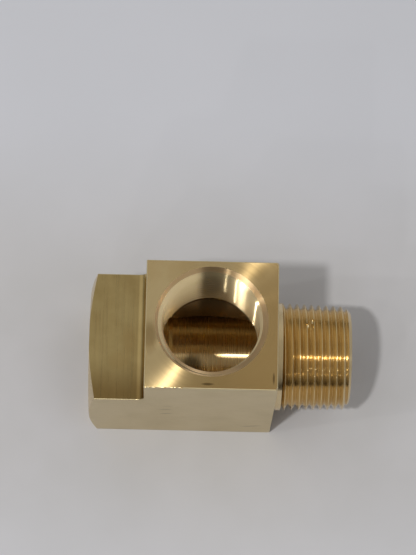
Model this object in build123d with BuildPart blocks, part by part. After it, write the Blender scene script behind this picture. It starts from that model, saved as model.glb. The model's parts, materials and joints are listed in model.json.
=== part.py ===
"""A brass street tee with 3/4 inch pipe thread, turned and bored from one sawn slice of tee-shaped bar.

Millimetres, +Z up. X runs along the straight run, from the female port at the left to the male end at the
right, and the branch port opens upwards. The origin lies on the resting face, straight below the point
where the run's axis passes the middle of the branch.
"""
import os
from math import atan, ceil, degrees, hypot, radians, tan

from build123d import *

# Bar stock: a slice of extruded tee section, 1 1/4 inch thick
bar_depth = 31.75
leg_height = 31.75
branch_face_height = 44.45
block_left = 15.9
block_right = 16.05
neck_radius = 2.0
edge_break = 0.2
heel_break = 0.5

# Ends of the run, measured from the branch axis
port_end = 29.6
male_end = 35.0

# The run is bored half way up the leg. The branch stands a little behind the middle of the slice.
run_height = leg_height / 2
branch_setback = 0.8

# Female ports: tap drill, drill point and mouth chamfer
tap_drill_diameter = 23.42
drill_point_angle = 118.0
mouth_diameter = 27.3
mouth_chamfer_angle = 45.0
port_drill_depth = 19.4
branch_drill_depth = 21.45
through_diameter = 20.0

# Male end: 3/4 inch taper pipe thread with flat crests
thread_taper = 1 / 16
thread_pitch = 25.4 / 14
flank_angle = 30.0
groove_depth = 0.72 * thread_pitch
cutter_over = 0.05 * thread_pitch
first_groove_beyond_block = 1.05
crest_diameter = 25.75
end_chamfer = 1.5
bore_chamfer = 0.4
collar_diameter = 27.0
collar_width = 1.9

# Turned ends of the slice
face_radius = 16.1
face_angle = 15.0
swing_radius = 32.1
swing_angle = 45.0

run_axis = Axis((0, 0, run_height), (1, 0, 0))
branch_axis = Axis((0, branch_setback, 0), (0, 0, 1))
run_plane = Plane((0, 0, run_height), x_dir=(0, 1, 0), z_dir=(1, 0, 0))
tap_drill_radius = tap_drill_diameter / 2
through_radius = through_diameter / 2
mouth_radius = mouth_diameter / 2
mouth_depth = (mouth_radius - tap_drill_radius) / tan(radians(mouth_chamfer_angle))
point_slope = 1 / tan(radians(drill_point_angle / 2))
clear = 1.0


def crest_radius(place):
    """Radius over the male thread's crests at a place along the run."""
    return (crest_diameter + (male_end - place) * thread_taper) / 2


def groove_turn(place):
    """Solid that one turn of the groove takes away, ruled between three helices on the taper.

    The turn starts at the back of the run's axis, with its root at the given place.
    """
    rise = groove_depth + cutter_over
    flank = rise * tan(radians(flank_angle))
    corners = [(place, 0), (place + flank, rise), (place - flank, rise)]
    helices = [
        Helix(
            pitch=thread_pitch,
            height=thread_pitch * 1.01,
            radius=crest_radius(along) - groove_depth + out,
            center=(0, 0, along),
            cone_angle=-degrees(atan(thread_taper / 2)),
        )
        for along, out in corners
    ]
    following = helices[1:] + helices[:1]
    sides = [Face.make_surface_from_curves(*pair) for pair in zip(helices, following)]
    ends = [Face(Wire.make_polygon([helix @ end for helix in helices], close=True)) for end in (0, 1)]
    return run_plane.location * Solid(Shell(sides + ends))


with BuildPart() as street_tee:
    # Tee outline of the bar, seen from the front, with the inside corner filleted
    with BuildSketch(Plane.XZ) as outline:
        with BuildLine():
            Polyline(
                (-port_end, 0),
                (block_right, 0),
                (block_right, branch_face_height),
                (-block_left, branch_face_height),
                (-block_left, leg_height),
                (-port_end, leg_height),
                close=True,
            )
        make_face()
        heel = outline.vertices().sort_by_distance((block_right, 0))[0]
        inside_corner = outline.vertices().sort_by_distance((-block_left, leg_height))[0]
        block_corners = outline.vertices().group_by(Axis.Y)[-1]
        chamfer(heel, length=heel_break)
        chamfer(block_corners, length=edge_break)
        fillet(inside_corner, radius=neck_radius)
    extrude(amount=bar_depth / 2, both=True)

    # The saw edges round the front and back of the slice are broken
    sawn_faces = street_tee.faces().filter_by(Axis.Y)
    chamfer(sawn_faces.edges(), length=edge_break)

    # The female end is faced and its four corners are turned back to a flat cone
    corner_radius = hypot(bar_depth, leg_height) / 2 + clear
    face_fall = (corner_radius - face_radius) * tan(radians(face_angle))
    with BuildSketch(Plane.XZ):
        with BuildLine():
            Polyline(
                (-port_end, run_height + face_radius),
                (-port_end, run_height + corner_radius),
                (-port_end + face_fall, run_height + corner_radius),
                close=True,
            )
        make_face()
    revolve(axis=run_axis, mode=Mode.SUBTRACT)

    # The block's upper corners swing furthest from the run's axis and are turned back at the male end
    swing_corner = hypot(bar_depth / 2, branch_face_height - run_height) + clear
    swing_fall = (swing_corner - swing_radius) * tan(radians(swing_angle))
    with BuildSketch(Plane.XZ):
        with BuildLine():
            Polyline(
                (block_right, run_height + swing_radius),
                (block_right, run_height + swing_corner),
                (block_right - swing_fall, run_height + swing_corner),
                close=True,
            )
        make_face()
    revolve(axis=run_axis, mode=Mode.SUBTRACT)

    # Tapered male end, chamfered
    chamfer_start = male_end - end_chamfer
    with BuildSketch(Plane.XZ):
        with BuildLine():
            Polyline(
                (block_right - clear, run_height),
                (block_right - clear, run_height + crest_radius(block_right - clear)),
                (chamfer_start, run_height + crest_radius(chamfer_start)),
                (male_end, run_height + crest_radius(chamfer_start) - end_chamfer),
                (male_end, run_height),
                close=True,
            )
        make_face()
    revolve(axis=run_axis)

    # Its thread is cut a turn at a time, from where the collar will stand to the end
    first_groove = block_right + first_groove_beyond_block
    turns = ceil((male_end - first_groove) / thread_pitch)
    for turn in range(turns):
        add(groove_turn(first_groove + turn * thread_pitch), mode=Mode.SUBTRACT)

    # The collar closes the thread's start
    with BuildSketch(Plane.XZ):
        with Locations((block_right - clear, run_height)):
            Rectangle(clear + collar_width, collar_diameter / 2, align=Align.MIN)
    revolve(axis=run_axis)

    # Run: mouth chamfer, tap drill with its conical point, then the through bore out of the male end
    drill_end = -port_end + port_drill_depth
    shoulder_end = drill_end + (tap_drill_radius - through_radius) * point_slope
    with BuildSketch(Plane.XZ):
        with BuildLine():
            Polyline(
                (-port_end - clear, run_height),
                (-port_end - clear, run_height + mouth_radius),
                (-port_end, run_height + mouth_radius),
                (-port_end + mouth_depth, run_height + tap_drill_radius),
                (drill_end, run_height + tap_drill_radius),
                (shoulder_end, run_height + through_radius),
                (male_end - bore_chamfer, run_height + through_radius),
                (male_end, run_height + through_radius + bore_chamfer),
                (male_end + clear, run_height + through_radius + bore_chamfer),
                (male_end + clear, run_height),
                close=True,
            )
        make_face()
    revolve(axis=run_axis, mode=Mode.SUBTRACT)

    # Branch: the same mouth and tap drill, down to its conical point inside the through bore
    branch_drill_end = branch_face_height - branch_drill_depth
    branch_plane = Plane.XZ.offset(-branch_setback)
    with BuildSketch(branch_plane):
        with BuildLine():
            Polyline(
                (0, branch_face_height + clear),
                (mouth_radius, branch_face_height + clear),
                (mouth_radius, branch_face_height),
                (tap_drill_radius, branch_face_height - mouth_depth),
                (tap_drill_radius, branch_drill_end),
                (0, branch_drill_end - tap_drill_radius * point_slope),
                close=True,
            )
        make_face()
    revolve(axis=branch_axis, mode=Mode.SUBTRACT)

street_tee.part.label = "street_tee"

os.makedirs("parts", exist_ok=True)
export_step(street_tee.part, "parts/street_tee.step")
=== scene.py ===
"""Looks of a brass street tee with 3/4 inch pipe thread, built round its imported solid.

Metres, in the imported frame: X runs along the run to the male end, Z up the branch, Y to the back.
The whole fitting is one piece of brass, so it is one closed mesh: a sawn slice of tee-shaped bar with the
male end turned on it and both ports bored into it, each thread cut at its real pitch, taper and depth.
"""
import json
import logging
import math
from dataclasses import dataclass, field
from enum import Enum
from typing import Callable

import bmesh
import bpy
from mathutils import Matrix, Vector


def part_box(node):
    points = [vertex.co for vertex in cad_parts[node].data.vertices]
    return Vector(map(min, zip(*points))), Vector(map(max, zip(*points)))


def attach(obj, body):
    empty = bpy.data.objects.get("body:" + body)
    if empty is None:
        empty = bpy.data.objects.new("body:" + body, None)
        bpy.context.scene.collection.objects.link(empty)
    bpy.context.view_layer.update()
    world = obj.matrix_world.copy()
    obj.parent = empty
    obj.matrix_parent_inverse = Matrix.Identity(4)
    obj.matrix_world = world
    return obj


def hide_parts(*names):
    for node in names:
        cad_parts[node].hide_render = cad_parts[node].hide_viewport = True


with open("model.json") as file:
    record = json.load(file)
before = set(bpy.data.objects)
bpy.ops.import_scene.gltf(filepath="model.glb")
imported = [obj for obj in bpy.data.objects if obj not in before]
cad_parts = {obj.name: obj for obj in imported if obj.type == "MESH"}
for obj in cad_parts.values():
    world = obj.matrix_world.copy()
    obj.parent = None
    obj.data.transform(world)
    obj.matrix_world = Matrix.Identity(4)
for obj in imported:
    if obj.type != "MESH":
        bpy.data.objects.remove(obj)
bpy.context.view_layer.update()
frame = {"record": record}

log = logging.getLogger("street_tee")

Triple = tuple[float, float, float]
Outline = list[tuple[float, float]]
Profile = Callable[[float], float]
Tree = bpy.types.NodeTree
Socket = bpy.types.NodeSocket
Source = bpy.types.Node | Socket
Material = bpy.types.Material
Solid = bpy.types.Object

MM = 0.001
NODE = "street_tee"
# How far a solid reaches past the surface that it cuts or joins
CLEAR = 1.0 * MM
# How far a mark on a flat face reaches through the face
SKIN = 1.0 * MM
# Lengths that count as none: one for measures, one that only keeps a division safe
TINY = 1e-6
NOTHING = 1e-12


def linear(hex_colour: str) -> tuple[float, float, float, float]:
    """Turns an sRGB hex colour into linear light.

    Args:
        hex_colour: six hex digits, with or without a leading hash.

    Returns:
        Linear red, green and blue, and an alpha of 1.
    """
    digits = hex_colour.lstrip("#")
    channels = [int(digits[place:place + 2], 16) / 255 for place in (0, 2, 4)]
    light = [c / 12.92 if c <= 0.04045 else ((c + 0.055) / 1.055) ** 2.4 for c in channels]
    return (*light, 1.0)


def add_node(tree: Tree, kind: str, sockets: dict | None = None, **settings) -> bpy.types.Node:
    """Adds one shader node with its settings, values and links.

    Args:
        tree: the node tree that takes the node.
        kind: what follows ShaderNode in the node's type name.
        sockets: input name or number to a plain value, or to what feeds it: an output socket, or a node,
            which stands for its first output in use.
        settings: attributes of the node itself.

    Returns:
        The new node.
    """
    made = tree.nodes.new("ShaderNode" + kind)
    for name, value in settings.items():
        setattr(made, name, value)
    for key, value in (sockets or {}).items():
        if isinstance(value, bpy.types.Node):
            value = next(output for output in value.outputs if output.enabled)
        if isinstance(value, Socket):
            tree.links.new(value, made.inputs[key])
        else:
            made.inputs[key].default_value = value
    return made


def empty_tree(owner: Material | bpy.types.World) -> Tree:
    """Gives a material or world a node tree with nothing in it.

    Args:
        owner: the material or world.

    Returns:
        Its empty tree.
    """
    owner.use_nodes = True
    owner.node_tree.nodes.clear()
    return owner.node_tree


def placed(name: str, data: bpy.types.ID) -> Solid:
    """Puts a mesh, lamp or camera into the scene.

    Args:
        name: name of the new object.
        data: the mesh, lamp or camera.

    Returns:
        The new object.
    """
    made = bpy.data.objects.new(name, data)
    bpy.context.scene.collection.objects.link(made)
    return made


def as_object(shape: bmesh.types.BMesh, name: str, *finishes: Material) -> Solid:
    """Turns a closed shape into an object of the scene, with its faces looking outwards.

    Args:
        shape: the shape; it is used up.
        name: name of the new object.
        finishes: materials, by the faces' material numbers.

    Returns:
        The new object.
    """
    bmesh.ops.recalc_face_normals(shape, faces=shape.faces)
    mesh = bpy.data.meshes.new(name)
    shape.to_mesh(mesh)
    shape.free()
    for finish in finishes:
        mesh.materials.append(finish)
    return placed(name, mesh)


class Marks(Enum):
    """How a tool or die leaves its fine lines, with the stretch of their noise along X, Y and Z."""

    # Rings about an axis
    TURNED = (1.0, 1.0, 1.0)
    # Lines along the bar, from front to back
    DRAWN = (1.0, 0.02, 1.0)
    # Lines along the run
    SAWN = (0.06, 1.0, 1.0)


class Work(Enum):
    """What a tool solid does to the body."""

    UNION = "adding"
    DIFFERENCE = "cutting away"


@dataclass(frozen=True)
class Fade:
    """A slow change of tone across a face, from one place to another."""

    start: Triple
    end: Triple
    colour: str
    share: float

    def mask(self, tree: Tree, place: Source) -> Source:
        """Draws how far the tone has changed at a surface point.

        Args:
            tree: node tree of the finish.
            place: the surface point.

        Returns:
            A value that grows from 0 to the fade's share.
        """
        run = Vector(self.end) - Vector(self.start)
        offset = add_node(tree, "VectorMath", {0: place, 1: self.start}, operation="SUBTRACT")
        gone = add_node(tree, "VectorMath", {0: offset, 1: run / run.length_squared},
                        operation="DOT_PRODUCT")
        return add_node(tree, "MapRange", {"Value": gone, "To Max": self.share},
                        interpolation_type="SMOOTHSTEP")


@dataclass(frozen=True)
class Blemish:
    """A soft-edged spot, stroke or scuff on a surface; its core, a share of its reach, shows it fully."""

    centre: Triple
    reach: Triple
    colour: str
    share: float
    turn: Triple = (0.0, 0.0, 0.0)
    core: float = 0.3
    relief: float = 0.0
    grain: float = 0.6 * MM

    def mask(self, tree: Tree, place: Source) -> Source:
        """Draws how much of the blemish shows at a surface point.

        Args:
            tree: node tree of the finish.
            place: the surface point.

        Returns:
            A value that grows from 0 at the rim to the blemish's share.
        """
        local = add_node(tree, "Mapping", {"Vector": place, "Location": self.centre,
                                           "Rotation": self.turn, "Scale": self.reach},
                         vector_type="TEXTURE")
        away = add_node(tree, "VectorMath", {0: local}, operation="LENGTH")
        return add_node(tree, "MapRange", {"Value": away, "From Min": 1.0, "From Max": self.core,
                                           "To Max": self.share}, interpolation_type="SMOOTHSTEP")

    def roughened(self, tree: Tree, place: Source, height: Source, shown: Source) -> Source:
        """Adds the blemish's own grain to a height.

        Args:
            tree: node tree of the finish.
            place: the surface point.
            height: the height without the grain, as a share of the finish's relief.
            shown: how much of the blemish shows.

        Returns:
            The height with the grain.
        """
        grain = add_node(tree, "TexNoise", {"Vector": place, "Scale": 1 / self.grain, "Detail": 2.0})
        lift = add_node(tree, "Math", {0: grain, 1: self.relief}, operation="MULTIPLY")
        part = add_node(tree, "Math", {0: lift, 1: shown}, operation="MULTIPLY")
        return add_node(tree, "Math", {0: height, 1: part}, operation="ADD")


@dataclass(frozen=True)
class BrassFinish:
    """One way the brass was worked, and what that gives the eye.

    The width of the marks is a real one; where a real mark is finer than the render can show, it is drawn
    coarser and the finish's own comment says so.
    """

    name: str
    colour: str
    stain: str
    marks: Marks
    mark_width: float
    roughness: tuple[float, float]
    relief: float
    anisotropy: float = 0.0
    stain_size: float = 9.0 * MM
    stain_share: float = 0.5
    stain_range: tuple[float, float] = (0.42, 0.68)
    line_range: tuple[float, float] = (0.3, 0.7)
    axis_point: Triple = (0.0, 0.0, 0.0)
    axis_direction: Triple = (0.0, 0.0, 1.0)
    lean: float = 0.0
    fades: tuple[Fade, ...] = ()
    blemishes: tuple[Blemish, ...] = ()

    def material(self) -> Material:
        """Builds the finish as a node material.

        Returns:
            The new material.
        """
        material = bpy.data.materials.new(self.name)
        tree = empty_tree(material)
        place = add_node(tree, "TexCoord").outputs["Object"]
        lines = self.mark_noise(tree, place)
        clouds = add_node(tree, "TexNoise", {"Vector": place, "Scale": 1 / self.stain_size,
                                             "Detail": 5.0, "Roughness": 0.6})
        patch = add_node(tree, "MapRange", {"Value": clouds, "From Min": self.stain_range[0],
                                            "From Max": self.stain_range[1], "To Max": self.stain_share})
        colour = add_node(tree, "Mix", {"Factor": patch, "A": linear(self.colour),
                                        "B": linear(self.stain)}, data_type="RGBA")
        height = lines
        for mark in (*self.fades, *self.blemishes):
            shown = mark.mask(tree, place)
            colour = add_node(tree, "Mix", {"Factor": shown, "A": colour, "B": linear(mark.colour)},
                              data_type="RGBA")
            if isinstance(mark, Blemish) and mark.relief:
                height = mark.roughened(tree, place, height, shown)
        rough = add_node(tree, "MapRange", {"Value": lines, "From Min": self.line_range[0],
                                            "From Max": self.line_range[1], "To Min": self.roughness[0],
                                            "To Max": self.roughness[1]})
        bump = add_node(tree, "Bump", {"Strength": 1.0, "Distance": self.relief, "Height": height})
        sockets = {
            "Base Color": colour,
            "Metallic": 1.0,
            "Roughness": rough,
            "Normal": bump,
        }
        if self.anisotropy:
            sockets["Anisotropic"] = self.anisotropy
            # A quarter turn stretches the highlight across the rings, where it would run along them
            sockets["Anisotropic Rotation"] = 0.25 + self.lean / math.tau
            sockets["Tangent"] = self.tangent(tree, place)
        shader = add_node(tree, "BsdfPrincipled", sockets)
        add_node(tree, "OutputMaterial", {"Surface": shader})
        return material

    def from_axis(self, tree: Tree, place: Source) -> Source:
        """Returns the surface point measured from the finish's turning axis."""
        return add_node(tree, "VectorMath", {0: place, 1: self.axis_point}, operation="SUBTRACT")

    def about_axis(self, tree: Tree, offset: Source) -> Source:
        """Returns the direction round the turning axis, as long as the point is far from the axis."""
        return add_node(tree, "VectorMath", {0: self.axis_direction, 1: offset}, operation="CROSS_PRODUCT")

    def tangent(self, tree: Tree, place: Source) -> Source:
        """Returns the direction in which the tool ran round its axis."""
        across = self.about_axis(tree, self.from_axis(tree, place))
        return add_node(tree, "VectorMath", {0: across}, operation="NORMALIZE")

    def mark_noise(self, tree: Tree, place: Source) -> Source:
        """Draws a noise that runs in lines the way the tool ran.

        Args:
            tree: node tree of the finish.
            place: the surface point.

        Returns:
            The noise, from 0 to 1.
        """
        where = place
        if self.marks is Marks.TURNED:
            offset = self.from_axis(tree, place)
            along = add_node(tree, "VectorMath", {0: offset, 1: self.axis_direction},
                             operation="DOT_PRODUCT")
            across = self.about_axis(tree, offset)
            radius = add_node(tree, "VectorMath", {0: across}, operation="LENGTH")
            where = add_node(tree, "CombineXYZ", {"X": radius, "Y": along})
        scaled = add_node(tree, "VectorMath", {0: where, 1: self.marks.value}, operation="MULTIPLY")
        return add_node(tree, "TexNoise", {"Vector": scaled, "Scale": 1 / self.mark_width,
                                           "Detail": 3.0, "Roughness": 0.65})


@dataclass(frozen=True)
class PipeThread:
    """Taper pipe thread: 60 degree flanks, 14 threads to the inch, diameter growing 1 in 16."""

    pitch: float = 25.4 * MM / 14
    half_angle: float = math.radians(30)
    taper: float = 1 / 16
    height: float = 1.45 * MM
    root_flat: float = 0.07 * MM
    edge: float = 0.06 * MM
    # Most that a broken edge takes, as shares of the land, the groove's depth and the root's flat
    edge_of_land: float = 0.6
    edge_of_depth: float = 0.4
    root_edge_of_depth: float = 0.3
    root_edge_of_flat: float = 0.4
    rows_per_turn: int = 8
    spare_turns: int = 2

    def section(self, depth: float) -> Outline:
        """Gives one turn's outline.

        Args:
            depth: depth of the groove, never below zero.

        Returns:
            Points as (distance along the axis from the middle of the land, share of the depth).
        """
        depth = max(depth, TINY)
        run = depth * math.tan(self.half_angle)
        land = (self.pitch - self.root_flat) / 2 - run
        land_edge = min(self.edge, depth * self.edge_of_depth, land * self.edge_of_land)
        root_edge = min(self.root_flat * self.root_edge_of_flat, depth * self.root_edge_of_depth)
        near = land_edge * math.cos(self.half_angle) / depth
        far = 1 - root_edge * math.cos(self.half_angle) / depth
        lean = math.sin(self.half_angle)
        half = [
            (land - land_edge, 0.0),
            (land + land_edge * lean, near),
            (land + run - root_edge * lean, far),
            (land + run + root_edge, 1.0),
        ]
        mirrored = [(self.pitch - along, share) for along, share in reversed(half)]
        return half + mirrored

    def column(self, low: float, high: float, turned: float, land: Profile, depth: Profile,
               phase: float) -> Outline:
        """Gives the thread's outline in one half plane through its axis, squared off at both ends.

        Args:
            low: lower end along the axis.
            high: upper end along the axis.
            turned: share of a full turn at which the half plane stands.
            land: radius of the lands at a place along the axis.
            depth: height of the thread there, positive outwards and negative inwards.
            phase: place of one land's middle at the start of a turn.

        Returns:
            Points as (place along the axis, radius), as many for each half plane.
        """
        first = math.floor((low - phase) / self.pitch) - self.spare_turns
        last = math.ceil((high - phase) / self.pitch) + self.spare_turns
        points = []
        for turn in range(first, last):
            middle = phase + self.pitch * (turn + turned)
            height = depth(middle)
            for along, share in self.section(abs(height)):
                points.append((middle + along, land(middle + along) + height * share))
        return [self.squared(points, place, low, high) for place in range(len(points))]

    @staticmethod
    def squared(points: Outline, place: int, low: float, high: float) -> tuple[float, float]:
        """Squares one point of an outline off.

        Args:
            points: the outline.
            place: number of the point.
            low: lower end along the axis.
            high: upper end along the axis.

        Returns:
            The point, or where the outline crosses the end that it lies beyond.
        """
        along, radius = points[place]
        if low < along < high:
            return along, radius
        end = low if along <= low else high
        for (before, before_radius), (after, after_radius) in zip(points, points[1:]):
            if before <= end <= after:
                share = (end - before) / max(after - before, NOTHING)
                return end, before_radius + (after_radius - before_radius) * share
        return end, radius


@dataclass
class Spindle:
    """An axis on which round solids are turned: they stand on local Z and are laid into the frame."""

    foot: Vector
    direction: Vector
    steps: int = 128

    def laid(self, shape: bmesh.types.BMesh, name: str, *finishes: Material) -> Solid:
        """Lays a shape along the axis and gives it its finishes.

        Args:
            shape: the shape round local Z; it is used up.
            name: name of the new object.
            finishes: materials, by the faces' material numbers.

        Returns:
            The new object.
        """
        turn = Vector((0, 0, 1)).rotation_difference(self.direction)
        shape.transform(Matrix.Translation(self.foot) @ turn.to_matrix().to_4x4())
        return as_object(shape, name, *finishes)

    def turned(self, name: str, outline: Outline, finish: Material) -> Solid:
        """Turns a closed outline about the axis.

        Args:
            name: name of the new object.
            outline: points as (place along the axis, radius), in order round the outline.
            finish: material of all its faces.

        Returns:
            The new object.
        """
        shape = bmesh.new()
        angles = [math.tau * step / self.steps for step in range(self.steps)]
        rings = []
        for along, radius in outline:
            if radius <= 0:
                rings.append([shape.verts.new((0, 0, along))] * self.steps)
                continue
            places = [(radius * math.cos(angle), radius * math.sin(angle), along) for angle in angles]
            rings.append([shape.verts.new(place) for place in places])
        for lower, upper in zip(rings, rings[1:] + rings[:1]):
            for step in range(self.steps):
                following = (step + 1) % self.steps
                corners = dict.fromkeys((lower[step], lower[following], upper[following], upper[step]))
                if len(corners) > 2:
                    shape.faces.new(list(corners))
        return self.laid(shape, name, finish)

    @staticmethod
    def raised(shape: bmesh.types.BMesh, outline: Outline, low: float, high: float,
               angle: float) -> list[bmesh.types.BMVert]:
        """Raises an outline as corners in one half plane; all that lies on an end shares one corner.

        Args:
            shape: the shape that takes the corners.
            outline: points as (place along the axis, radius).
            low: lower end along the axis.
            high: upper end along the axis.
            angle: angle of the half plane.

        Returns:
            A corner for each point.
        """
        ends = {}
        corners = []
        for along, radius in outline:
            if along in (low, high) and along in ends:
                corners.append(ends[along])
                continue
            corner = shape.verts.new((radius * math.cos(angle), radius * math.sin(angle), along))
            if along in (low, high):
                ends[along] = corner
            corners.append(corner)
        return corners

    def threaded(self, name: str, thread: PipeThread, low: float, high: float, land: Profile,
                 depth: Profile, phase: float, finish: Material, point: float = 0.0,
                 point_finish: Material | None = None) -> Solid:
        """Makes a closed rod with a helical thread on it.

        Args:
            name: name of the new object.
            thread: form of the thread.
            low: lower end along the axis.
            high: upper end along the axis.
            land: radius of the lands at a place along the axis.
            depth: height of the thread there, positive outwards and negative inwards.
            phase: place of one land's middle at the start of a turn.
            finish: material of the thread and the upper end.
            point: height of the conical point below the lower end.
            point_finish: material of the point; the thread's own if none is given.

        Returns:
            The new object.
        """
        shape = bmesh.new()
        columns = [self.raised(shape, thread.column(low, high, step / self.steps, land, depth, phase),
                               low, high, math.tau * step / self.steps) for step in range(self.steps)]
        seam = columns[0][thread.rows_per_turn:] + [columns[0][-1]] * thread.rows_per_turn
        columns.append(seam)
        bottom, top = shape.verts.new((0, 0, low - point)), shape.verts.new((0, 0, high))
        for left, right in zip(columns, columns[1:]):
            shape.faces.new((bottom, right[0], left[0])).material_index = 1
            shape.faces.new((top, left[-1], right[-1]))
            for row in range(len(left) - 1):
                corners = dict.fromkeys((left[row], right[row], right[row + 1], left[row + 1]))
                if len(corners) > 2:
                    shape.faces.new(list(corners))
        return self.laid(shape, name, finish, point_finish or finish)


def combine(body: Solid, tool: Solid, work: Work) -> None:
    """Adds a tool solid to the body or takes it away, and uses the tool up.

    Args:
        body: the object that stays.
        tool: the object that is added or cut out.
        work: what the tool does.
    """
    modifier = body.modifiers.new(tool.name, "BOOLEAN")
    modifier.operation = work.name
    modifier.solver = "MANIFOLD"
    modifier.material_mode = "TRANSFER"
    modifier.object = tool
    whole = body.evaluated_get(bpy.context.evaluated_depsgraph_get())
    worked = bpy.data.meshes.new_from_object(whole)
    body.modifiers.clear()
    old = body.data
    body.data = worked
    log.info("%s: %d faces after %s %s", body.name, len(worked.polygons), work.value, tool.name)
    bpy.data.meshes.remove(old)
    bpy.data.objects.remove(tool)


def lump(name: str, centre: Triple, reach: Triple, finish: Material) -> Solid:
    """Makes a small faceted lump, to be added as a burr or cut out as a nick.

    Args:
        name: name of the new object.
        centre: place of its middle.
        reach: half its size along each axis.
        finish: material of all its faces.

    Returns:
        The new object.
    """
    shape = bmesh.new()
    bmesh.ops.create_icosphere(shape, subdivisions=2, radius=1.0)
    shape.transform(Matrix.Translation(centre) @ Matrix.Diagonal((*reach, 1.0)))
    return as_object(shape, name, finish)


@dataclass
class BarSlice:
    """The slice of tee-shaped bar that the fitting is made from."""

    low: Vector
    high: Vector
    block_left: float = 15.9 * MM
    block_right: float = 16.05 * MM
    leg_height: float = 31.75 * MM
    neck_radius: float = 2.0 * MM
    neck_steps: int = 10
    heel_break: float = 0.5 * MM
    edge_break: float = 0.2 * MM
    edge_segments: int = 2
    # Least part of a face's normal that makes it look one way
    facing: float = 0.5

    def outline(self) -> Outline:
        """Draws the bar's section.

        Returns:
            Its (x, z) points, counter-clockwise from the lower left.
        """
        neck_x = -self.block_left - self.neck_radius
        neck_z = self.leg_height + self.neck_radius
        angles = [math.pi / 2 * step / self.neck_steps for step in range(self.neck_steps + 1)]
        radius = self.neck_radius
        neck = [(neck_x + radius * math.cos(angle), neck_z - radius * math.sin(angle)) for angle in angles]
        return [
            (self.low.x, self.low.z),
            (self.block_right - self.heel_break, self.low.z),
            (self.block_right, self.low.z + self.heel_break),
            (self.block_right, self.high.z),
            (-self.block_left, self.high.z),
            *neck,
            (self.low.x, self.leg_height),
        ]

    def build(self, sawn: Material, faced: Material, drawn: Material) -> Solid:
        """Makes the slice with its edges broken.

        Args:
            sawn: finish of the front and back.
            faced: finish of the branch's face.
            drawn: finish of every side that the bar's die made.

        Returns:
            The slice as one closed object.
        """
        shape = bmesh.new()
        front = shape.faces.new([shape.verts.new((x, self.low.y, z)) for x, z in self.outline()])
        grown = bmesh.ops.extrude_face_region(shape, geom=[front])
        moved = [item for item in grown["geom"] if isinstance(item, bmesh.types.BMVert)]
        bmesh.ops.translate(shape, verts=moved, vec=(0, self.high.y - self.low.y, 0))
        bmesh.ops.recalc_face_normals(shape, faces=shape.faces)
        for face in shape.faces:
            face.material_index = self.finish_of(face)
        sharp = [edge for edge in shape.edges if self.is_broken(edge)]
        bmesh.ops.bevel(shape, geom=sharp, offset=self.edge_break, segments=self.edge_segments, profile=0.5,
                        affect="EDGES", clamp_overlap=True)
        return as_object(shape, "street_tee_brass", sawn, faced, drawn)

    def finish_of(self, face: bmesh.types.BMFace) -> int:
        """Tells which finish a face has.

        Args:
            face: a face of the slice.

        Returns:
            0 for a sawn face, 1 for the branch's face and 2 for a drawn one.
        """
        if abs(face.normal.y) > self.facing:
            return 0
        above_neck = face.calc_center_median().z > self.leg_height + self.neck_radius
        return 1 if face.normal.z > self.facing and above_neck else 2

    def is_broken(self, edge: bmesh.types.BMEdge) -> bool:
        """Tells whether an edge was deburred.

        Args:
            edge: an edge of the slice.

        Returns:
            True all round both sawn faces and at the block's upper corners.
        """
        sawn = [abs(face.normal.y) > self.facing for face in edge.link_faces]
        corner = all(abs(vert.co.z - self.high.z) < TINY for vert in edge.verts)
        return any(sawn) or corner


@dataclass
class FemalePort:
    """A port bored with a tap drill, tapped and chamfered; it is made as the solid that is cut out."""

    spindle: Spindle
    face: float
    tap_radius: float
    drill_end: float
    thread: PipeThread
    mouth_radius: float = 13.65 * MM
    major_at_face: float = 13.25 * MM
    fade_length: float = 3.0 * MM
    point_angle: float = math.radians(118)
    phase: float = 0.0

    def major(self, place: float) -> float:
        """Returns the radius at the bottom of the thread's grooves: the tap's taper."""
        return self.major_at_face - (self.face - place) * self.thread.taper / 2

    def land(self, place: float) -> float:
        """Returns the radius inside the crests: the drill's, or the tap's where that is larger."""
        return max(self.tap_radius, self.major(place) - self.thread.height)

    def depth(self, place: float) -> float:
        """Returns the depth of the thread: full at the mouth, then less along the tap's lead."""
        lead = min(1.0, max(0.0, (place - self.drill_end) / self.fade_length))
        return (self.major(place) - self.land(place)) * lead

    def cut(self, body: Solid, tapped: Material, drilled: Material, turned: Material) -> None:
        """Cuts the port and its mouth chamfer out of the body.

        Args:
            body: the object that is cut.
            tapped: finish of the threaded wall.
            drilled: finish that the drill's point leaves.
            turned: finish of the mouth chamfer.
        """
        point = self.tap_radius / math.tan(self.point_angle / 2)
        plug = self.spindle.threaded("tapped_bore", self.thread, self.drill_end, self.face + CLEAR,
                                     self.land, self.depth, self.phase, tapped, point, drilled)
        combine(body, plug, Work.DIFFERENCE)
        narrow = self.tap_radius - CLEAR
        mouth = self.spindle.turned("mouth_chamfer", [
            (self.face + CLEAR, 0.0),
            (self.face - (self.mouth_radius - narrow), 0.0),
            (self.face - (self.mouth_radius - narrow), narrow),
            (self.face + CLEAR, self.mouth_radius + CLEAR),
        ], turned)
        combine(body, mouth, Work.DIFFERENCE)


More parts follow.
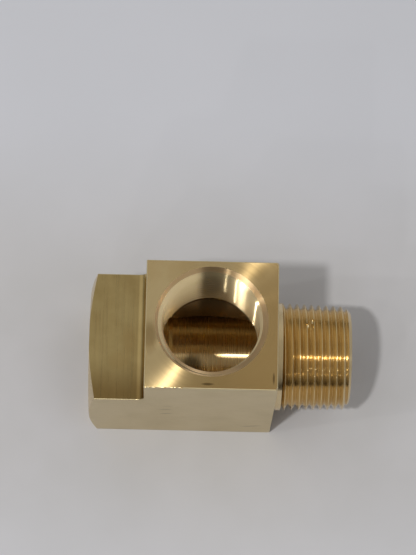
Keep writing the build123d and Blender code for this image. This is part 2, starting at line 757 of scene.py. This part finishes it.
@dataclass
class MaleEnd:
    """The collar and the tapered, threaded end beyond it."""

    spindle: Spindle
    start: float
    end: float
    thread: PipeThread
    collar_radius: float = 13.5 * MM
    collar_width: float = 1.9 * MM
    crest_radius: float = 12.875 * MM
    groove_depth: float = 1.37 * MM
    chamfer: float = 1.5 * MM
    first_groove: float = 1.05 * MM
    # Turns from a land at the start of a turn to the first groove, which starts at the back
    groove_turns: float = 0.75
    sunk: float = 0.5 * MM

    def land(self, place: float) -> float:
        """Returns the radius over the crests."""
        return self.crest_radius + (self.end - place) * self.thread.taper / 2

    def add(self, body: Solid, threaded: Material, turned: Material) -> None:
        """Adds the collar and the threaded end to the body.

        Args:
            body: the object that grows.
            threaded: finish of the thread.
            turned: finish of the collar and the end chamfer.
        """
        phase = self.start + self.first_groove - self.groove_turns * self.thread.pitch
        thread_start = self.start + self.collar_width - self.sunk
        rod = self.spindle.threaded("male_thread", self.thread, thread_start, self.end, self.land,
                                    lambda place: -self.groove_depth, phase, threaded)
        start_radius = self.land(self.end - self.chamfer)
        ring = self.spindle.turned("end_chamfer", [
            (self.end - self.chamfer - CLEAR, start_radius + CLEAR),
            (self.end + CLEAR, start_radius - self.chamfer - CLEAR),
            (self.end + CLEAR, start_radius + 2 * CLEAR),
            (self.end - self.chamfer - CLEAR, start_radius + 2 * CLEAR),
        ], turned)
        combine(rod, ring, Work.DIFFERENCE)
        collar = self.spindle.turned("collar", [
            (self.start - CLEAR, 0.0),
            (self.start - CLEAR, self.collar_radius),
            (self.start + self.collar_width, self.collar_radius),
            (self.start + self.collar_width, 0.0),
        ], turned)
        combine(collar, rod, Work.UNION)
        combine(body, collar, Work.UNION)


@dataclass
class Wear:
    """Small damage: nicks in the male thread's crests, a burr in the branch and burrs on the front edge."""

    # Places along the run and behind its axis
    nicks: tuple[tuple[float, float], ...] = ((24.1 * MM, 4.9 * MM), (25.1 * MM, 6.3 * MM))
    nick_radius: float = 12.95 * MM
    nick_reach: Triple = (0.6 * MM, 0.8 * MM, 0.75 * MM)
    # Place beside and behind the branch's axis, and height
    bore_burr: Triple = (-0.28 * MM, 11.5 * MM, 23.1 * MM)
    bore_burr_reach: Triple = (0.13 * MM, 0.3 * MM, 0.6 * MM)
    edge_burrs: int = 12
    edge_start: float = -15.4 * MM
    edge_spacing: float = 0.78 * MM
    edge_scatter: float = 0.2 * MM
    edge_behind: float = 0.16 * MM
    edge_below: float = 0.13 * MM
    edge_reach: float = 0.36 * MM
    edge_size: float = 0.12 * MM
    edge_swell: float = 0.06 * MM
    # Radians from one burr to the next, so that neither spacing nor size repeats along the edge
    scatter_step: float = 1.7
    swell_step: float = 2.4

    def leave(self, body: Solid, tee: "StreetTee") -> None:
        """Leaves the damage on the body.

        Args:
            body: the machined fitting.
            tee: its sizes and finishes.
        """
        finish = tee.finishes
        for along, back in self.nicks:
            centre = (along, back, tee.run_height + math.sqrt(self.nick_radius ** 2 - back ** 2))
            combine(body, lump("nick", centre, self.nick_reach, finish["threaded_brass"]), Work.DIFFERENCE)
        aside, back, height = self.bore_burr
        centre = (aside, tee.setback + back, height)
        combine(body, lump("burr", centre, self.bore_burr_reach, finish["tapped_brass"]), Work.UNION)
        for step in range(self.edge_burrs):
            scatter = self.edge_scatter * math.sin(step * self.scatter_step)
            place = self.edge_start + self.edge_spacing * step + scatter
            centre = (place, tee.low.y + self.edge_behind, tee.high.z - self.edge_below)
            size = self.edge_size + self.edge_swell * math.sin(step * self.swell_step)
            reach = (self.edge_reach, size, size)
            combine(body, lump("edge_burr", centre, reach, finish["faced_brass"]), Work.UNION)


@dataclass
class StreetTee:
    """The whole fitting: the bar slice, the male end and the bores."""

    run_height: float
    setback: float
    tap_radius: float
    through_radius: float
    low: Vector
    high: Vector
    port_drill_depth: float = 19.4 * MM
    branch_drill_depth: float = 21.45 * MM
    branch_fade: float = 0.8 * MM
    bore_chamfer: float = 0.4 * MM
    face_radius: float = 16.1 * MM
    face_angle: float = math.radians(15)
    swing_radius: float = 32.1 * MM
    cutter_reach: float = 30 * MM
    smooth_angle: float = math.radians(38)
    flat_weight: int = 100
    # How far the highlight leans from straight across the rings, on the face and on the wall
    ring_lean: float = math.radians(4.5)
    wall_lean: float = math.radians(-5.0)
    finishes: dict[str, Material] = field(default_factory=dict)

    @classmethod
    def from_frame(cls) -> "StreetTee":
        """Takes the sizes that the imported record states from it.

        Returns:
            The fitting, not yet built.
        """
        mounts = {mount["name"]: mount for mount in frame["record"]["mounts"]}
        low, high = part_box(NODE)
        return cls(
            run_height=mounts["through_bore"]["pos_m"][2],
            setback=mounts["branch_port"]["pos_m"][1],
            tap_radius=mounts["branch_port"]["dims"]["r_mm"] * MM,
            through_radius=mounts["through_bore"]["dims"]["r_mm"] * MM,
            low=Vector(low),
            high=Vector(high),
        )

    def spindles(self) -> tuple[Spindle, Spindle, Spindle]:
        """Sets up the turning axes.

        Returns:
            The axes of the male end, the run port and the branch port.
        """
        run = Vector((0, 0, self.run_height))
        branch = Vector((0, self.setback, 0))
        return (
            Spindle(run, Vector((1, 0, 0))),
            Spindle(run, Vector((-1, 0, 0))),
            Spindle(branch, Vector((0, 0, 1))),
        )

    def make_finishes(self) -> None:
        """Makes every finish that the fitting shows."""
        about_run = {"axis_point": (0.0, 0.0, self.run_height), "axis_direction": (1.0, 0.0, 0.0)}
        about_branch = {"axis_point": (0.0, self.setback, 0.0)}
        kinds = [
            # Free-cutting brass faced in a lathe with a feed of 0.25 mm: bright, with rings that draw the
            # light out into a bow tie
            BrassFinish("faced_brass", "#F3D79E", "#E2C082", Marks.TURNED, mark_width=0.25 * MM,
                        roughness=(0.20, 0.25), relief=0.0004 * MM, anisotropy=1.0, lean=self.ring_lean,
                        fades=self.face_fades(), blemishes=self.face_blemishes(), **about_branch),
            # Extruded brass with its thin brown skin left on: deeper in colour, with soft lines from the
            # die, about 0.5 mm wide
            BrassFinish("extruded_brass", "#CDB47A", "#AE9159", Marks.DRAWN, mark_width=0.5 * MM,
                        roughness=(0.26, 0.32), relief=0.0008 * MM, fades=self.leg_fades(),
                        blemishes=self.leg_blemishes()),
            # Brass sawn and linished: pale and satin, because fine scratches scatter the light. Real ones
            # are about 0.1 mm wide, too fine to show, so they are drawn 0.3 mm wide
            BrassFinish("sawn_brass", "#D5C49C", "#C6B487", Marks.SAWN, mark_width=0.3 * MM,
                        roughness=(0.30, 0.42), relief=0.002 * MM, blemishes=self.front_blemishes()),
            # Turned brass: a clean bright cut with rings about the run, at a feed of 0.2 mm
            BrassFinish("turned_brass", "#E4CFA5", "#D6BF8E", Marks.TURNED, mark_width=0.2 * MM,
                        roughness=(0.22, 0.28), relief=0.0006 * MM, anisotropy=1.0, **about_run),
            # Mouth chamfer of the branch, cut at a feed of 0.2 mm: its light is softer than the face's
            BrassFinish("mouth_brass", "#EFCE9E", "#E0BE87", Marks.TURNED, mark_width=0.2 * MM,
                        roughness=(0.30, 0.36), relief=0.0004 * MM, anisotropy=1.0, lean=self.wall_lean,
                        **about_branch),
            # Thread cut in one pass: bright flanks that mirror each other and so look deeper in colour.
            # The die's lines, about 0.05 mm wide, are too fine to show and are drawn 0.12 mm wide
            BrassFinish("threaded_brass", "#E2CA9A", "#D6BC87", Marks.TURNED, mark_width=0.12 * MM,
                        roughness=(0.18, 0.23), relief=0.0006 * MM, anisotropy=0.9, **about_run),
            # Tapped brass: bright, with rings about the branch. The tap's lines, about 0.05 mm wide, are
            # too fine to show and are drawn 0.15 mm wide
            BrassFinish("tapped_brass", "#EBD4A6", "#DDC690", Marks.TURNED, mark_width=0.15 * MM,
                        roughness=(0.18, 0.23), relief=0.0006 * MM, anisotropy=1.0, lean=self.wall_lean,
                        blemishes=self.wall_painted_shade(), **about_branch),
            # Cone left by the drill's point, burnished by the lips: its dark brown is painted shade, for the
            # shade deep in the branch's bore, with rings at the drill's feed of 0.3 mm
            BrassFinish("point_brass", "#5C472C", "#4A381B", Marks.TURNED, mark_width=0.3 * MM,
                        roughness=(0.12, 0.18), relief=0.0006 * MM, anisotropy=0.3, **about_branch),
            # Shoulder left by the run's drill point: bright, with rings about the run at the same feed
            BrassFinish("shoulder_brass", "#E3C78F", "#D2B274", Marks.TURNED, mark_width=0.3 * MM,
                        roughness=(0.16, 0.24), relief=0.001 * MM, anisotropy=0.6, **about_run),
            # Drilled brass inside the run: rougher and deeper rings, at a feed of 0.35 mm
            BrassFinish("drilled_brass", "#DDC08A", "#C9A870", Marks.TURNED, mark_width=0.35 * MM,
                        roughness=(0.22, 0.32), relief=0.010 * MM, anisotropy=1.0,
                        blemishes=self.bore_painted_shade(), **about_run),
        ]
        self.finishes = {kind.name: kind.material() for kind in kinds}

    def face_fades(self) -> tuple[Fade, ...]:
        """Tarnish that deepens over the branch's face towards the front right."""
        top = self.high.z
        return (Fade((-4 * MM, 10 * MM, top), (13 * MM, -2 * MM, top), "#CDA768", 0.8),)

    def face_blemishes(self) -> tuple[Blemish, ...]:
        """Tarnish at two sides of the mouth, a dark rub by the front edge and a short streak at the right."""
        top = self.high.z
        return (
            Blemish((-14.8 * MM, -3.4 * MM, top), (2.6 * MM, 5.5 * MM, SKIN), "#A58450", 0.6),
            Blemish((9.5 * MM, 13.4 * MM, top), (5.0 * MM, 3.6 * MM, SKIN), "#94753F", 0.4),
            Blemish((-0.7 * MM, -14.7 * MM, top), (1.9 * MM, 0.42 * MM, SKIN), "#6B4F28", 0.75),
            Blemish((15.0 * MM, -13.0 * MM, top), (0.35 * MM, 1.9 * MM, SKIN), "#6B4F28", 0.7),
        )

    def leg_fades(self) -> tuple[Fade, ...]:
        """The brown skin of the bar, deeper towards the front of the leg."""
        return (Fade((0, -4 * MM, 0), (0, -15 * MM, 0), "#8A6C3C", 0.75),)

    def leg_blemishes(self) -> tuple[Blemish, ...]:
        """Scuffs over the middle of the leg's top."""
        leg = BarSlice.leg_height
        return (
            Blemish((-19.8 * MM, -1.0 * MM, leg), (2.4 * MM, 5.0 * MM, SKIN), "#BFA066", 0.5, relief=9.0),
            Blemish((-22.0 * MM, -6.0 * MM, leg), (3.6 * MM, 3.4 * MM, SKIN), "#BFA066", 0.4, relief=7.0),
        )

    def wall_painted_shade(self) -> tuple[Blemish, ...]:
        """Painted shade: a darker patch down the back of the branch's bore."""
        return (Blemish((-0.4 * MM, 12.5 * MM, 35.0 * MM), (4.6 * MM, 3.0 * MM, 16.0 * MM), "#7A6038", 0.55),)

    def bore_painted_shade(self) -> tuple[Blemish, ...]:
        """Painted shade in the run's bore under the branch: a dark patch on the bottom and a dark band along
        the back wall.
        """
        return (
            Blemish((-4.3 * MM, 0.2 * MM, 5.9 * MM), (3.8 * MM, 3.2 * MM, 1.5 * MM), "#3A2812", 0.8),
            Blemish((0, 10.0 * MM, 14.6 * MM), (15.0 * MM, 4.0 * MM, 4.2 * MM), "#4A3216", 0.75),
        )

    def front_blemishes(self) -> tuple[Blemish, ...]:
        """Rubs and one long scratch on the front."""
        front = self.low.y
        return (
            Blemish((-10.6 * MM, front, 22.6 * MM), (2.3 * MM, SKIN, 0.8 * MM), "#8E774A", 0.35),
            Blemish((-10.4 * MM, front, 18.4 * MM), (2.1 * MM, SKIN, 0.8 * MM), "#8E774A", 0.42),
            Blemish((-10.0 * MM, front, 26.0 * MM), (1.7 * MM, SKIN, 0.6 * MM), "#8E774A", 0.25),
            Blemish((11.0 * MM, front, 6.8 * MM), (3.4 * MM, SKIN, 0.32 * MM), "#6E562B", 0.75,
                    turn=(0, math.radians(-14), 0)),
        )

    def build(self) -> Solid:
        """Machines the fitting.

        Returns:
            The fitting as one closed object.
        """
        male, port, branch = self.spindles()
        finish = self.finishes
        thread = PipeThread()
        bar = BarSlice(self.low, self.high)
        body = bar.build(finish["sawn_brass"], finish["faced_brass"], finish["extruded_brass"])
        self.turn_back_corners(body, male, port, bar)
        MaleEnd(male, bar.block_right, self.high.x, thread).add(
            body, finish["threaded_brass"], finish["turned_brass"])
        self.bore_through(body, male)
        FemalePort(port, -self.low.x, self.tap_radius, -self.low.x - self.port_drill_depth, thread).cut(
            body, finish["drilled_brass"], finish["shoulder_brass"], finish["turned_brass"])
        FemalePort(branch, self.high.z, self.tap_radius, self.high.z - self.branch_drill_depth, thread,
                   fade_length=self.branch_fade).cut(
            body, finish["tapped_brass"], finish["point_brass"], finish["mouth_brass"])
        Wear().leave(body, self)
        self.smooth(body)
        return body

    def turn_back_corners(self, body: Solid, male: Spindle, port: Spindle, bar: BarSlice) -> None:
        """Turns the leg's corners back at the female end and the block's upper corners at the male end.

        Args:
            body: the bar slice as an object.
            male: turning axis of the male end.
            port: turning axis of the run port.
            bar: sizes of the bar slice.
        """
        reach = self.cutter_reach
        fall = math.tan(self.face_angle)
        face = -self.low.x
        cone = port.turned("face_cone", [
            (face + CLEAR * fall, self.face_radius - CLEAR),
            (face + reach, self.face_radius - CLEAR),
            (face + reach, self.face_radius + reach),
            (face - reach * fall, self.face_radius + reach),
        ], self.finishes["turned_brass"])
        combine(body, cone, Work.DIFFERENCE)
        swing = male.turned("swing_cone", [
            (bar.block_right + CLEAR, self.swing_radius - CLEAR),
            (bar.block_right + CLEAR, self.swing_radius + reach),
            (bar.block_right - reach, self.swing_radius + reach),
        ], self.finishes["turned_brass"])
        combine(body, swing, Work.DIFFERENCE)

    def bore_through(self, body: Solid, male: Spindle) -> None:
        """Bores the through hole out of the male end and breaks its edge.

        Args:
            body: the object that is cut.
            male: turning axis of the male end.
        """
        drill_end = self.low.x + self.port_drill_depth
        bore = male.turned("through_bore", [
            (drill_end - CLEAR, 0.0),
            (drill_end - CLEAR, self.through_radius),
            (self.high.x - self.bore_chamfer, self.through_radius),
            (self.high.x + CLEAR, self.through_radius + self.bore_chamfer + CLEAR),
            (self.high.x + CLEAR, 0.0),
        ], self.finishes["drilled_brass"])
        combine(body, bore, Work.DIFFERENCE)

    def smooth(self, body: Solid) -> None:
        """Shades round faces smooth, keeps real edges sharp and keeps flat faces flat.

        Args:
            body: the finished fitting.
        """
        mesh = body.data
        mesh.polygons.foreach_set("use_smooth", [True] * len(mesh.polygons))
        mesh.set_sharp_from_angle(angle=self.smooth_angle)
        weighted = body.modifiers.new("flat_faces_lead", "WEIGHTED_NORMAL")
        weighted.keep_sharp = True
        weighted.weight = self.flat_weight

    def make(self) -> Solid:
        """Makes the fitting and binds it to the frame.

        Returns:
            The finished piece.
        """
        self.make_finishes()
        piece = self.build()
        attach(piece, "root")
        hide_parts(NODE)
        return piece


@dataclass(frozen=True)
class Lamp:
    """A round lamp far off, given by the direction that its light comes from."""

    name: str
    direction: Triple
    size: float
    power: float
    distance: float = 1.2

    def hang(self) -> None:
        """Hangs the lamp, facing the object."""
        lamp = bpy.data.lights.new(self.name, "AREA")
        lamp.shape = "DISK"
        lamp.size = self.size
        lamp.energy = self.power
        away = Vector(self.direction).normalized()
        hung = placed(self.name, lamp)
        hung.location = away * self.distance
        hung.rotation_euler = away.to_track_quat("Z", "Y").to_euler()


@dataclass
class Studio:
    """Pale floor, soft surroundings, one small key lamp with four tiny ones, and the camera."""

    floor_size: float = 6.0
    floor_drop: float = 0.02 * MM
    floor_colour: str = "#D2D0D2"
    floor_worn: str = "#BFBDBB"
    floor_cloud: float = 30 * MM
    floor_roughness: float = 0.7
    floor_shine: float = 0.2
    # Painted light: the floor grows lighter and bluer away from the fitting, towards the back and the front
    floor_painted_light: tuple[Fade, ...] = (
        Fade((0, 20 * MM, 0), (0, 75 * MM, 0), "#D3D4DA", 0.8),
        Fade((0, -20 * MM, 0), (0, -60 * MM, 0), "#D2D2D6", 0.6),
    )
    lamps: tuple[Lamp, ...] = (
        Lamp("key_lamp", (-0.285, -0.256, 0.924), 0.07, 4.6),
        Lamp("far_left_lamp", (-0.72, -0.14, 0.68), 0.025, 0.7),
        Lamp("near_left_lamp", (-0.45, -0.319, 0.834), 0.018, 0.25),
        Lamp("front_left_lamp", (-0.453, -0.63, 0.63), 0.02, 0.35),
        Lamp("low_front_lamp", (-0.28, -0.81, 0.515), 0.02, 0.4),
    )
    # Brightness of the middle band by degrees from overhead: the back's horizon is -90, the front's is 90
    band_levels: tuple[tuple[float, float], ...] = (
        (-180, 0.42), (-90, 0.50), (-50, 0.54), (-26, 0.43), (-20, 0.30), (-8, 0.27), (24, 0.26),
        (38, 0.20), (48, 0.14), (70, 0.11), (76, 0.01), (93, 0.01), (99, 0.3),
    )
    band_middle: float = -0.045
    band_half: float = 0.30
    band_soft: float = 0.05
    # Brightness beside the band: at the horizon, from side_top up, and the left's share of the right's
    side_low: float = 0.07
    side_high: float = 0.64
    side_top: float = 0.5
    left_share: float = 0.78
    left_reach: float = 0.4
    focal_px: float = 2393.474
    distance: float = 595.646 * MM
    azimuth: float = math.radians(-3.039)
    elevation: float = math.radians(73.308)
    roll: float = math.radians(4.264)
    aim: Triple = (0.0, 0.0, 20.0 * MM)
    aim_px: tuple[float, float] = (209.454, 350.816)
    frame_px: tuple[int, int] = (416, 555)
    sensor: float = 36.0

    def build(self) -> None:
        """Sets up everything that isn't the object."""
        self.build_floor()
        self.build_world()
        for lamp in self.lamps:
            lamp.hang()
        self.build_camera()
        bpy.context.scene.view_settings.view_transform = "Standard"

    def build_floor(self) -> None:
        """Lays the floor: a pale matt sheet with faint clouds, painted lighter and bluer to the back and the
        front.
        """
        half = self.floor_size / 2
        mesh = bpy.data.meshes.new("floor")
        corners = [(-half, -half), (half, -half), (half, half), (-half, half)]
        mesh.from_pydata([(x, y, -self.floor_drop) for x, y in corners], [], [(0, 1, 2, 3)])
        material = bpy.data.materials.new("pale_floor")
        tree = empty_tree(material)
        place = add_node(tree, "TexCoord").outputs["Object"]
        clouds = add_node(tree, "TexNoise", {"Vector": place, "Scale": 1 / self.floor_cloud, "Detail": 3.0})
        colour = add_node(tree, "Mix", {"Factor": clouds, "A": linear(self.floor_colour),
                                        "B": linear(self.floor_worn)}, data_type="RGBA")
        for fade in self.floor_painted_light:
            colour = add_node(tree, "Mix", {"Factor": fade.mask(tree, place), "A": colour,
                                            "B": linear(fade.colour)}, data_type="RGBA")
        shader = add_node(tree, "BsdfPrincipled", {"Base Color": colour, "Roughness": self.floor_roughness,
                                                   "Specular IOR Level": self.floor_shine})
        add_node(tree, "OutputMaterial", {"Surface": shader})
        mesh.materials.append(material)
        floor = placed("floor", mesh)

    def build_world(self) -> None:
        """Makes the surroundings.

        A middle band is pale at the back, darker overhead and dark at the front. The sides beside it are
        pale above and dark at the horizon, and the left one is the darker.
        """
        world = bpy.data.worlds.new("surroundings")
        bpy.context.scene.world = world
        tree = empty_tree(world)
        direction = add_node(tree, "TexCoord").outputs["Generated"]
        parts = add_node(tree, "SeparateXYZ", {"Vector": direction}).outputs
        front = add_node(tree, "Math", {0: parts["Y"], 1: -1.0}, operation="MULTIPLY")
        angle = add_node(tree, "Math", {0: front, 1: parts["Z"]}, operation="ARCTAN2")
        share = add_node(tree, "MapRange", {"Value": angle, "From Min": -math.pi, "From Max": math.pi})
        ramp = add_node(tree, "ValToRGB", {"Fac": share})
        band = ramp.color_ramp
        while len(band.elements) < len(self.band_levels):
            band.elements.new(0.5)
        # Places before colours, because the ramp sorts its elements whenever one moves
        for element, (degrees, _) in zip(band.elements, self.band_levels):
            element.position = (degrees + 180) / 360
        for element, (_, level) in zip(band.elements, self.band_levels):
            element.color = (level, level, level, 1.0)
        aside = add_node(tree, "Math", {0: parts["X"], 1: self.band_middle}, operation="SUBTRACT")
        reach = add_node(tree, "Math", {0: aside}, operation="ABSOLUTE")
        beside = add_node(tree, "MapRange", {"Value": reach, "From Min": self.band_half - self.band_soft,
                                             "From Max": self.band_half + self.band_soft})
        side = add_node(tree, "MapRange", {"Value": parts["Z"], "From Max": self.side_top,
                                           "To Min": self.side_low, "To Max": self.side_high})
        across = add_node(tree, "MapRange", {"Value": parts["X"], "From Min": -self.left_reach,
                                             "From Max": self.left_reach, "To Min": self.left_share})
        sides = add_node(tree, "Math", {0: side, 1: across}, operation="MULTIPLY")
        level = add_node(tree, "Mix", {"Factor": beside, "A": ramp, "B": sides}, data_type="RGBA")
        back = add_node(tree, "Background", {"Color": level, "Strength": 1.0})
        add_node(tree, "OutputWorld", {"Surface": back})

    def build_camera(self) -> None:
        """Places the camera so that the aim point falls on its place in the frame."""
        outwards = Vector((math.sin(self.azimuth) * math.cos(self.elevation),
                           -math.cos(self.azimuth) * math.cos(self.elevation), math.sin(self.elevation)))
        level = (-outwards).cross(Vector((0, 0, 1))).normalized()
        upright = level.cross(-outwards)
        right = math.cos(self.roll) * level + math.sin(self.roll) * upright
        up = -math.sin(self.roll) * level + math.cos(self.roll) * upright
        shift_right = (self.aim_px[0] - self.frame_px[0] / 2) / self.focal_px * self.distance
        shift_up = (self.frame_px[1] / 2 - self.aim_px[1]) / self.focal_px * self.distance
        place = Vector(self.aim) + self.distance * outwards - shift_right * right - shift_up * up
        data = bpy.data.cameras.new("camera")
        data.sensor_width = self.sensor
        data.lens = self.focal_px * self.sensor / max(self.frame_px)
        camera = placed("camera", data)
        turn = Matrix((right, up, outwards)).transposed().to_4x4()
        camera.matrix_world = Matrix.Translation(place) @ turn
        bpy.context.scene.camera = camera


def main() -> None:
    """Builds the fitting and its studio."""
    logging.basicConfig(level=logging.INFO, format="%(name)s: %(message)s")
    piece = StreetTee.from_frame().make()
    log.info("%s: one closed solid of %d faces", piece.name, len(piece.data.polygons))
    Studio().build()


if __name__ == "__main__":
    main()
